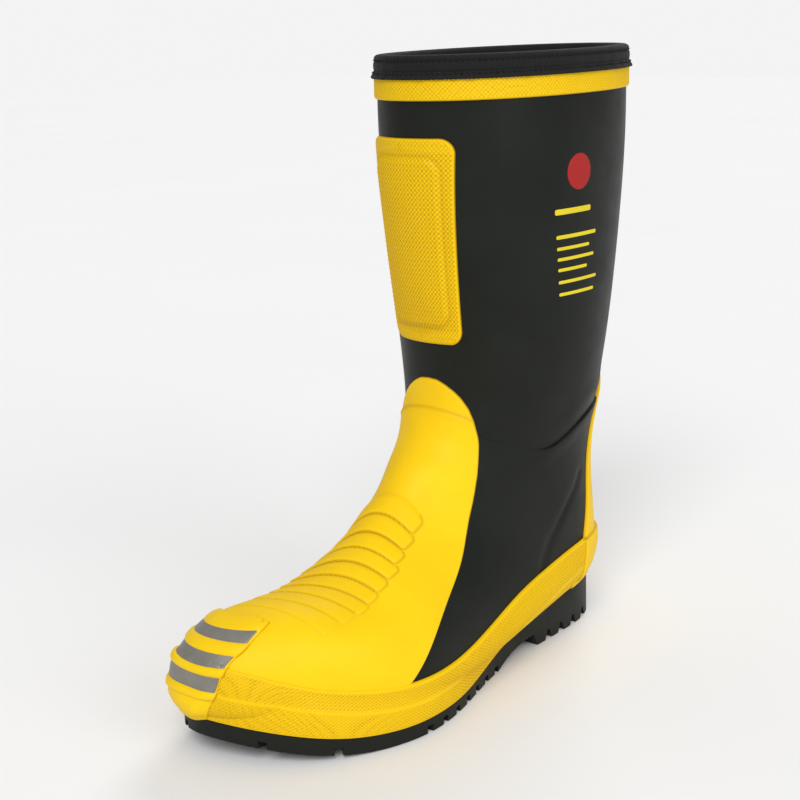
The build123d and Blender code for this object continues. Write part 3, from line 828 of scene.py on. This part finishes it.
def make_foxing():
    """The knurled yellow band round the foot, with the plain patch over its back."""
    path, outward, length = closed_outline(STATIONS)
    tree = surface_tree(FOXING_OUT)
    base, split, share = foxing_profile(path, outward, tree)
    normal = grid_normals(base, True)
    if np.einsum("ijk,jk->ij", normal[..., :2], outward).mean() < 0:
        normal = -normal
    down = arc_lengths(base, 0)
    from_bottom = down[-1:] - down
    around = np.linspace(0, length, STATIONS + 1)[:-1][None, :]
    pitch = length / (STATIONS // 5)
    edges = lip(down, 1.2) * lip(from_bottom, 0.8)
    pattern = knurl(around, down * 1.25, pitch, KNURL_HEIGHT)
    ridge = gaussian(down - down[np.searchsorted(share, split)], 1.1)
    fade = smooth_step(down, 0.8, 1.8) * smooth_step(from_bottom, 0.8, 1.8)
    rise = pattern * fade * (1 - 0.9 * ridge) + 0.5 * ridge - 0.9 * (1 - edges)
    outer = base + normal * rise[..., None]
    tucked = base - normal * 2.0
    outer[0] = tucked[0]
    outer[-1, :, :] = base[-1] - np.concatenate([outward * 0.9, np.zeros((STATIONS, 1))], 1)
    back = stride(len(base), 10)
    inner = base[back] - normal[back] * 2.2
    inner[-1] = base[-1] - np.concatenate([outward * 2.2, np.zeros((STATIONS, 1))], 1)
    # painted shade in the knurl's grooves
    painted_dark = fade * 0.8 * knurl_shade(pattern / KNURL_HEIGHT) * (1 - ridge)
    ring_solid("foxing_band", outer, inner, True, yellow_knurled, ("foxing", "midsole"),
               painted_dark)
    make_heel_patch(base, normal, path)
    return base


def make_heel_patch(base, normal, path):
    """The plain yellow patch over the back of the foxing."""
    order = np.roll(np.arange(STATIONS), STATIONS // 2)
    chosen = order[path[order, 0] < HEEL_PATCH_END]
    points, out = base[:, chosen], normal[:, chosen]
    distance = np.minimum(from_ends(points, 1), from_ends(points, 0))
    rise = -0.6 + 2.2 * lip(distance, 1.6)
    outer = points + out * rise[..., None]
    outer[0] = points[0] - out[0] * 0.8
    back = stride(len(points), 10)
    inner = points[back] - out[back] * 1.0
    ring_solid("heel_patch_rubber", outer, inner, False, yellow_rubber, ("heel_patch",),
               edge_shade(distance))


# ---- the toe bumper and its strips ----
TOE_CENTRE = Vector((252, -21, 30))  # the rays that find the toe's surface come in towards this point
TOE_RAY = 120
RIDGES = [68.5, 60.5, 50.5, 38]  # heights of the bare ridges above, between and below the strips
RIDGE_RISES = [1.0, 1.6, 1.7, 1.7]
RIDGE_HALF = 1.7  # half the width of the bare rubber between two strips
BULGE, BULGE_HEIGHT, BULGE_SPREAD = 3.0, 30, 9.5
BUMPER_SIDE = [(20, -17), (29, -11), (39, -6), (48, -3), (57.5, 0), (66, 4), (71, 1), (74, -4)]
BUMPER_MIDDLE = -21
BUMPER_INNER = [(20, 27), (66, 25), (74, 17)]  # its reach from the middle towards the inner side
BUMPER_BOTTOM = 18.5
BUMPER_START = 275


def toe_grid(foxing_base, rows, cols):
    """Points on the outside of the toe under the bumper: rows from its top end down, columns across."""
    foot_tree = surface_tree(VAMP_OUT)
    front = [c for c in range(foxing_base.shape[1]) if foxing_base[0, c, 0] > 225]
    wall_tree = grid_tree(foxing_base, front)
    elevations = np.radians(np.linspace(64, -17, rows))
    turns = np.radians(np.linspace(-58, 58, 117))
    found = np.zeros((rows, len(turns), 3))
    for r, e in enumerate(elevations):
        for c, a in enumerate(turns):
            aim = Vector((math.cos(e) * math.cos(a), math.cos(e) * math.sin(a), math.sin(e)))
            best = 0.0
            for tree in (foot_tree, wall_tree):
                hit = tree.ray_cast(TOE_CENTRE + aim * TOE_RAY, -aim, TOE_RAY - 1)
                if hit[0] is not None:
                    best = max(best, (hit[0] - TOE_CENTRE).length)
            found[r, c] = TOE_CENTRE + aim * best
    heights = [h for h, _ in BUMPER_SIDE]
    reaches = [y for _, y in BUMPER_SIDE]
    grid = np.zeros((rows, cols, 3))
    across = np.linspace(-1, 1, cols)
    across = np.sign(across) * (1 - (1 - np.abs(across)) ** 1.15)
    for r in range(rows):
        y = found[r, :, 1]
        z_mid = np.interp(BUMPER_MIDDLE, y, found[r, :, 2])
        left = natural_spline(heights, reaches, np.clip(z_mid, 20, 74))[..., 0]
        bar = max(gaussian(z_mid - h, 2.6) for h in RIDGES)
        half = left + 1.1 * bar - BUMPER_MIDDLE
        inner_half = np.interp(z_mid, *zip(*BUMPER_INNER))
        wanted = BUMPER_MIDDLE + across * np.where(across > 0, half, inner_half)
        for axis in range(3):
            grid[r, :, axis] = np.interp(wanted, y, found[r, :, axis])
    for _ in range(6):
        between = (grid[:-2] + grid[2:]) / 2
        grid[1:-1] = 0.5 * grid[1:-1] + 0.5 * between
    return grid


def toe_swell(z, side):
    """How far the bumper swells beyond the toe: full at its foot, a little less at its top."""
    swell = BULGE * gaussian(z - BULGE_HEIGHT, BULGE_SPREAD) + 0.3 * smooth_step(z, 64, 52)
    return swell * smooth_step(side, 0, 10)


def make_toe_bumper(foxing_base):
    """The yellow bumper over the toe, and the three reflective strips in its hollows."""
    columns = 110
    middle = columns // 2
    grid = toe_grid(foxing_base, 150, columns)
    start = np.argmax(grid[:, middle, 0] > BUMPER_START)
    grid = grid[start:]
    grid = grid[grid[:, middle, 2] > BUMPER_BOTTOM]
    normal = grid_normals(grid, False)
    if normal[..., 0].mean() < 0:
        normal = -normal
    down = arc_lengths(grid, 0)
    side = from_ends(grid, 1)
    corner = 9.0
    a, b = corner - side, corner - down
    top_round = corner - np.hypot(np.maximum(a, 0), np.maximum(b, 0)) + np.minimum(0, -np.maximum(a, b))
    near_top = np.where((a > 0) & (b > 0), top_round, np.minimum(side, down))
    edge = np.minimum(np.minimum(side, down[-1:] - down), near_top)
    heights = grid[:, middle, 2]
    z = np.broadcast_to(heights[:, None], side.shape)
    bars = np.max([size * lip(RIDGE_HALF + 0.7 - np.abs(z - h), 1.9)
                   for h, size in zip(RIDGES, RIDGE_RISES)], axis=0)
    fade = smooth_step(z, 73, 70)
    rise = 1.5 * lip(edge, 1.8) + bars * lip(edge, 3.0) * fade + toe_swell(z, side) * lip(edge, 4.0) - 0.3
    rise = np.where(edge < 0.02, -0.8, rise)
    outer = grid + normal * rise[..., None]
    back = stride(len(grid), 24)
    inner = grid[back] - normal[back] * 1.2
    # painted shade along the bumper's edge
    painted_dark = edge_shade(edge) * (edge > 0)
    ring_solid("toe_bumper_rubber", outer, inner, False, yellow_rubber, ("toe_bumper",),
               painted_dark)
    names = ("upper", "middle", "lower")
    for name, high, low in zip(names, RIDGES, RIDGES[1:]):
        rows = np.nonzero((heights < high - RIDGE_HALF) & (heights > low + RIDGE_HALF))[0]
        keep = slice(5, -5)
        strip, out = grid[rows][:, keep], normal[rows][:, keep]
        lift = 1.32 + 0.35 * lip(from_ends(strip, 1), 0.6)
        lift = lift + toe_swell(z[rows][:, keep], side[rows][:, keep])
        top = strip + out * lift[..., None]
        low = [0, len(rows) // 2, -1]
        under = strip[low] + out[low] * (lift[low] - 0.8)[..., None]
        ring_solid(f"reflective_tape_{name}", top, under, False, reflective_tape,
                   (f"reflective_strip_{name}",), np.zeros(lift.shape))


# ---- the shin pad ----
PAD_CENTRE = (-1, 252)
PAD_SIZE = (63, 115)
PANEL_SIZE = (48, 94)
PAD_FOOT = 0.78  # the pad narrows towards its lower end
PAD_KNURL = 0.45


def fine_ends(half, spacing):
    """Places from -half to half, close together at both ends."""
    steps = np.array([0, 0.15, 0.35, 0.65, 1.0, 1.45])
    middle = np.linspace(-half + 2.0, half - 2.0, int((2 * half - 4.0) / spacing))
    return np.concatenate([-half + steps, middle, half - steps[::-1]])


def front_surface(y, z, out):
    """Points on the front of the leg at given widths and heights."""
    rows = np.linspace(0, 5.2, 700)
    front = foot(rows, 2.0, 0)[:, 2]
    t = np.interp(z, front[::-1], rows[::-1])
    q_table = np.linspace(1.02, 2.98, 160)
    q = np.empty(y.shape)
    for r in range(y.shape[0]):
        line = foot(t[r, 0], q_table, 0)
        q[r] = np.interp(y[r], line[::-1, 1], q_table[::-1])
    return foot(t, q, out)


def half_widths(down, size, corner, least=0.0):
    """Half the width of a rounded rectangle at each height."""
    tuck = np.maximum(np.abs(down) - size[1] / 2 + corner, 0)
    return size[0] / 2 - corner + np.sqrt(np.maximum(corner ** 2 - tuck ** 2, least))


def make_shin_pad():
    """The knurled pad on the shin, with its raised middle panel."""
    corner = 8.5
    down = fine_ends(PAD_SIZE[1] / 2, 0.52)[::-1]
    share = fine_ends(PAD_SIZE[0] / 2, 0.47) / (PAD_SIZE[0] / 2)
    along = 5 * np.median(np.abs(np.diff(down)))  # a diamond takes five rows and five columns
    across = 5 * np.median(np.diff(share)) * PAD_SIZE[0] / 2
    y = half_widths(down, PAD_SIZE, corner)[:, None] * share[None, :]
    taper = np.interp(down, [-PAD_SIZE[1] / 2, PAD_SIZE[1] / 2], [PAD_FOOT, 1.0])[:, None]
    z = np.broadcast_to(down[:, None], y.shape)
    edge = np.maximum(rounded_inside(y, z, PAD_SIZE, corner), 0)
    panel = rounded_inside(y, z, PANEL_SIZE, 9)
    raised = smooth_step(panel, -1.2, 2.6)
    crown = smooth_step(panel, 0, 20) * 0.9
    fade = smooth_step(edge, 0.5, 1.5)
    pattern = knurl(y / across, z / along, 1.0, PAD_KNURL)
    rise = PAD_OUT * lip(edge, 1.4) + (PAD_RAISED_OUT - PAD_OUT - 0.6) * raised + crown + pattern * fade
    rise = np.where(edge < 0.02, -TUCK, rise)
    at_y, at_z = y * taper + PAD_CENTRE[0], z + PAD_CENTRE[1]
    outer = front_surface(at_y, at_z, rise)
    back = stride(len(down), 30)
    inner = front_surface(at_y[back], at_z[back], np.full(y[back].shape, -TUCK - 0.1))
    # painted shade in the knurl's grooves, along the pad's edge and round the foot of the raised panel
    painted_dark = np.maximum(fade * knurl_shade(pattern / PAD_KNURL) * 0.75, 0.8 * gaussian(edge, 0.4))
    painted_dark = np.maximum(painted_dark, 0.25 * gaussian(panel + 1.0, 1.2))
    ring_solid("shin_pad", outer, inner, False, yellow_knurled, ("shin_pad_cover",),
               painted_dark)


# ---- the rim: band, tape, binding and stitches ----
def rim_ring(profile, columns, wobble=None):
    """A grid round the rim from a profile of (depth below the rim, distance out)."""
    q = np.linspace(0, 4, columns + 1)[:-1]
    depth = np.array([p[0] for p in profile])[:, None] + 0 * q
    out = np.array([p[1] for p in profile])[:, None] + 0 * q
    if wobble is not None:
        out = out + wobble
    points = foot(np.clip(depth, 0, None) / RIM_SPAN, q[None, :], out)
    points[..., 2] = RIM_HEIGHT - depth
    return points


def make_top_band():
    """The knurled yellow band under the rim."""
    columns = 1000
    knurl_height, knurl_pitch = 0.4, 2.35
    depths = np.concatenate([TAPE_END + np.array([-1.5, 0.0]),
                             np.linspace(TAPE_END + 0.4, BAND_END - 1.2, 26),
                             BAND_END - np.array([0.8, 0.45, 0.2, 0.05, 0.0])])
    points = rim_ring([(d, 0) for d in depths], columns)
    around = arc_lengths(np.concatenate([points, points[:, :1]], 1), 1)[5][:-1]
    length = around[-1] + np.linalg.norm(points[5, -1] - points[5, 0])
    pitch = length / round(length / knurl_pitch)
    edge = (BAND_END - depths)[:, None]
    fade = smooth_step(edge, 0.6, 1.6)
    pattern = knurl(around[None, :], depths[:, None], pitch, knurl_height)
    rise = BAND_OUT * lip(edge, 1.2) + 0.3 * gentle_noise(points, 30, 21) * fade + pattern * fade
    rise = np.where(edge < 0.02, -TUCK, rise)
    outer = rim_ring([(d, 0) for d in depths], columns, rise)
    inner = rim_ring([(d, -TUCK - 0.1) for d in depths[::6]], columns)
    inner[-1] = rim_ring([(BAND_END, -TUCK - 0.1)], columns)[0]
    # painted shade in the knurl, along the band's lower edge and under the edge of the tape above it
    painted_dark = np.maximum(fade * knurl_shade(pattern / knurl_height) * 0.75, 0.7 * gaussian(edge, 0.4))
    painted_dark = np.maximum(painted_dark, 0.6 * smooth_step(depths, TAPE_END + 1.2, TAPE_END)[:, None])
    ring_solid("top_band_rubber", outer, inner, True, yellow_knurled, ("top_band",), painted_dark)


def make_collar():
    """The black tape: a folded binding over the rim and a flange below it that stands out."""
    columns = 520
    q = np.linspace(0, 4, columns + 1)[:-1]
    wave = 0.28 * np.sin(q * 71) + 0.18 * np.sin(q * 47 + 1) + 0.22 * np.sin(q * 23 + 2)
    bend = 2.6  # radius of the fold over the rim
    round_top = [(bend - bend * math.sin(a), BINDING_OUT - bend + bend * math.cos(a))
                 for a in np.linspace(0, 1.5, 8)]
    round_in = [(bend - bend * math.cos(a), BINDING_IN + bend - bend * math.sin(a))
                for a in np.linspace(0.1, 1.57, 8)]
    outside = [(9.4, 0.4), (9.0, 1.1), (8.6, 1.5), (7.6, 1.75), (6.0, 1.9), (4.4, 1.75), (3.7, 1.35),
               (3.05, 1.15), (2.75, 1.3)]
    inside = [(5, BINDING_IN), (8.4, BINDING_IN), (8.5, BINDING_IN + 1.2)]
    profile = outside + round_top[1:] + round_in + inside
    outer = rim_ring(profile, columns, wave[None, :] * 0.35)
    depths = np.array([p[0] for p in profile])
    stitch_line = gaussian(depths - 3.05, 0.45)[:, None] + 0 * q
    inner = rim_ring([(9.4, -0.3), (2.2, -0.3), (1.9, -0.6), (1.9, -5.2), (2.2, -5.4), (8.5, -5.4)],
                     columns)
    ring_solid("collar_binding_tape", outer, inner, True, black_tape, ("collar_binding",),
               0.6 * stitch_line)
    fray = 0.22 * np.sin(q * 390) + 0.12 * np.sin(q * 610)
    flange = [(8.2, 0.2), (8.5, 1.3), (9.1, 1.9), (9.75, 1.95), (10.4, 2.3), (11.4, 2.9), (12.1, 3.2),
              (12.6, 3.15), (12.75, 2.8)]
    outer = rim_ring(flange, columns, wave[None, :] * 0.5)
    outer[-4:-1, :, 2] += fray[None, :] * 0.8
    inner = rim_ring([(8.2, -0.3), (11.6, 1.3), (12.4, 2.3)], columns, wave[None, :] * 0.5)
    ring_solid("collar_flange_tape", outer, inner, True, black_tape, ("collar_tape",),
               np.zeros(outer.shape[:2]))


def make_stitches():
    """Two rows of twisted thread, each stitch a short bowed sausage."""
    count = 148
    rows = (("upper", 3.05, 1.5, 2.1), ("lower", 9.75, 2.25, 2.0))  # depth, distance out, length
    bow = np.array([-0.45, -0.1, 0.1, 0.16, 0.1, -0.1, -0.45])
    radius = np.array([0.16, 0.34, 0.4, 0.42, 0.4, 0.34, 0.16])
    steps = len(bow)
    q_fine = np.linspace(0, 4, 4001)
    for name, depth, out, length in rows:
        level = depth / RIM_SPAN
        travel = arc_lengths(foot(level, q_fine, out), 0)
        parts = []
        for i in range(count):
            middle = travel[-1] * (i + 0.5) / count
            places = middle + np.linspace(-length / 2, length / 2, steps)
            q = np.interp(places % travel[-1], travel, q_fine)
            path = foot(level, q, out + bow)
            path[:, 2] = RIM_HEIGHT - depth + np.linspace(-0.18, 0.18, steps)
            outward = foot(level, q, out + 1 + bow) - path
            outward[:, 2] = 0
            outward /= np.linalg.norm(outward, axis=1)[:, None]
            rings = [path + radius[:, None] * (outward * math.cos(a) + np.array([0, 0, 1.0]) * math.sin(a))
                     for a in np.linspace(0, 2 * math.pi, 9)[:-1]]
            verts = np.concatenate(rings)
            parts.append((verts, ring_faces(len(rings), steps, False), np.zeros(len(verts))))
        joined(f"collar_thread_{name}", parts, thread, (f"collar_stitches_{name}",))


# ---- plain printed marks on the outer side of the leg ----
def side_surface(x, z, out):
    """Points on the outer side of the leg at given places in the side view."""
    rows = np.linspace(0, 5, 400)
    table = np.linspace(0.3, 1.7, 160)
    heights = foot(rows, 1.0, 0)[:, 2]
    t = np.interp(z, heights[::-1], rows[::-1])
    q = np.empty(x.shape)
    for r in range(len(x)):
        line = foot(t[r].mean(), table, 0)
        q[r] = np.interp(x[r], line[:, 0], table)
    return foot(t, q, out)


def mark(centre, size, corner):
    """A thin raised rounded rectangle of print, as a closed solid."""
    steps = np.array([0, 0.1, 0.25, 0.45])
    halves = []
    for extent in (size[1] / 2, size[0] / 2):
        middle = np.array([0.0])
        if extent > 0.9:
            middle = np.linspace(-extent + 0.7, extent - 0.7, max(2, int(extent * 2 / 1.2)))
        ends = steps * min(1, extent)
        halves.append(np.concatenate([-extent + ends, middle, extent - ends[::-1]]))
    down, share = halves[0][::-1], halves[1] / (size[0] / 2)
    corner = min(corner, size[0] / 2, size[1] / 2)
    half = half_widths(down, size, corner, 0.0004)
    across = half[:, None] * share[None, :]
    x = centre[0] - across
    z = centre[1] + down[:, None] + 0 * across
    edge = np.minimum(half[:, None] * (1 - np.abs(share))[None, :], (size[1] / 2 - np.abs(down))[:, None])
    waves = leg_waves(side_surface(x, z, 0))
    outer = side_surface(x, z, waves + 0.16 * lip(edge, 0.3) - 0.02)
    inner = side_surface(x, z, waves - 0.5)[[0, -1]]
    return closed(outer, inner, False, np.zeros(x.shape))


def make_prints():
    """A plain red disc above a heading bar and six thinner bars, flush at the front."""
    joined("print_emblem", [mark((76, 287), (20, 20), 10)], red_print, ())
    lines = ((266, 30, 3.2), (252, 34, 2.2), (245.5, 27, 1.9), (239.5, 31, 1.9), (233.5, 24, 1.9),
             (226.5, 33, 1.9), (219.5, 30, 1.9))
    bars = [mark((92 - width / 2 + (height - 240) * 0.12, height), (width, thick), thick / 2)
            for height, width, thick in lines]
    joined("print_bars", bars, yellow_print, ())


# ---- the CAD nodes that stay, with better materials ----
CAD_MATERIALS = {
    "outsole": sole_rubber, "heel_filler": sponge_rubber, "puncture_plate": plate_steel,
    "insole_board": fibre_board, "insole": felt, "lining": lining_knit, "toe_cap": cap_steel,
    "toe_cap_edge_strip": grey_rubber, "heel_counter": fibre_board, "shin_pad_insert": sponge_rubber,
}

make_upper()
make_outer_ply()
make_vamp()
make_heel_strip()
make_toe_bumper(make_foxing())
make_shin_pad()
make_top_band()
make_collar()
make_stitches()
make_prints()
for name, material in CAD_MATERIALS.items():
    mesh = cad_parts[name].data
    mesh.materials.clear()
    mesh.materials.append(material)


# ---- floor, light and camera ----
def make_floor():
    """A pale floor just under the sole."""
    material, tree, shader, place = new_material("floor")
    tone = mix(tree, noise(tree, place, 3.0), (0.86, 0.86, 0.86), (0.89, 0.89, 0.89))
    wire(tree, shader, {"Base Color": tone, "Roughness": 0.9})
    size, level = 6.0, -0.0005
    mesh = bpy.data.meshes.new("floor")
    corners = [(x * size, y * size, level) for x, y in ((-1, -1), (1, -1), (1, 1), (-1, 1))]
    mesh.from_pydata(corners, [], [(0, 1, 2, 3)])
    mesh.materials.append(material)
    add_object("floor", mesh)


def make_light(name, place, aim, angle, strength):
    """A far soft lamp, so the floor is lit evenly all over."""
    data = bpy.data.lights.new(name, "SUN")
    data.angle = angle
    data.energy = strength
    light = add_object(name, data)
    light.location = place
    light.rotation_euler = (Vector(aim) - Vector(place)).to_track_quat("-Z", "Y").to_euler()


SKY_LIGHT = 0.42
SKY_SEEN = 0.90  # as bright as the lit floor, so no horizon shows


def make_world():
    """A plain sky that gives less light than the brightness it shows to the camera."""
    world = bpy.data.worlds.new("studio")
    world.use_nodes = True
    tree = world.node_tree
    rays = tree.nodes.new("ShaderNodeLightPath")
    strength = scaled(tree, rays.outputs["Is Camera Ray"], SKY_SEEN - SKY_LIGHT, SKY_LIGHT)
    wire(tree, tree.nodes["Background"], {"Color": (1, 1, 1, 1), "Strength": strength})
    bpy.context.scene.world = world
    bpy.context.scene.view_settings.view_transform = "Standard"


CAMERA_PLACE = (786.6, 565.5, 377.9)
CAMERA_YAW, CAMERA_PITCH, CAMERA_ROLL = -2.4068, -0.2461, -0.0359
LENS = 70.33


def make_camera():
    """The camera that saw the boot, placed in the design's millimetres."""
    data = bpy.data.cameras.new("camera")
    data.lens = LENS
    data.clip_start, data.clip_end = 0.05, 50
    camera = add_object("camera", data)
    level = math.cos(CAMERA_PITCH)
    forward = Vector((math.cos(CAMERA_YAW) * level, math.sin(CAMERA_YAW) * level, math.sin(CAMERA_PITCH)))
    right = forward.cross(Vector((0, 0, 1))).normalized()
    up = right.cross(forward)
    tilted_right = right * math.cos(CAMERA_ROLL) + up * math.sin(CAMERA_ROLL)
    tilted_up = up * math.cos(CAMERA_ROLL) - right * math.sin(CAMERA_ROLL)
    turn = Matrix((tilted_right, tilted_up, -forward)).transposed().to_4x4()
    camera.matrix_world = Matrix.Translation(Vector(to_row(CAMERA_PLACE))) @ turn
    bpy.context.scene.camera = camera


make_floor()
make_world()
make_light("key", (1.3, 0.9, 1.5), (0, 0, 0.15), 0.55, 1.75)
make_light("fill", (0.2, 1.9, 0.9), (0, 0, 0.15), 0.75, 0.85)
make_light("back", (-1.6, -0.6, 1.6), (0, 0, 0.2), 0.5, 0.8)
make_camera()
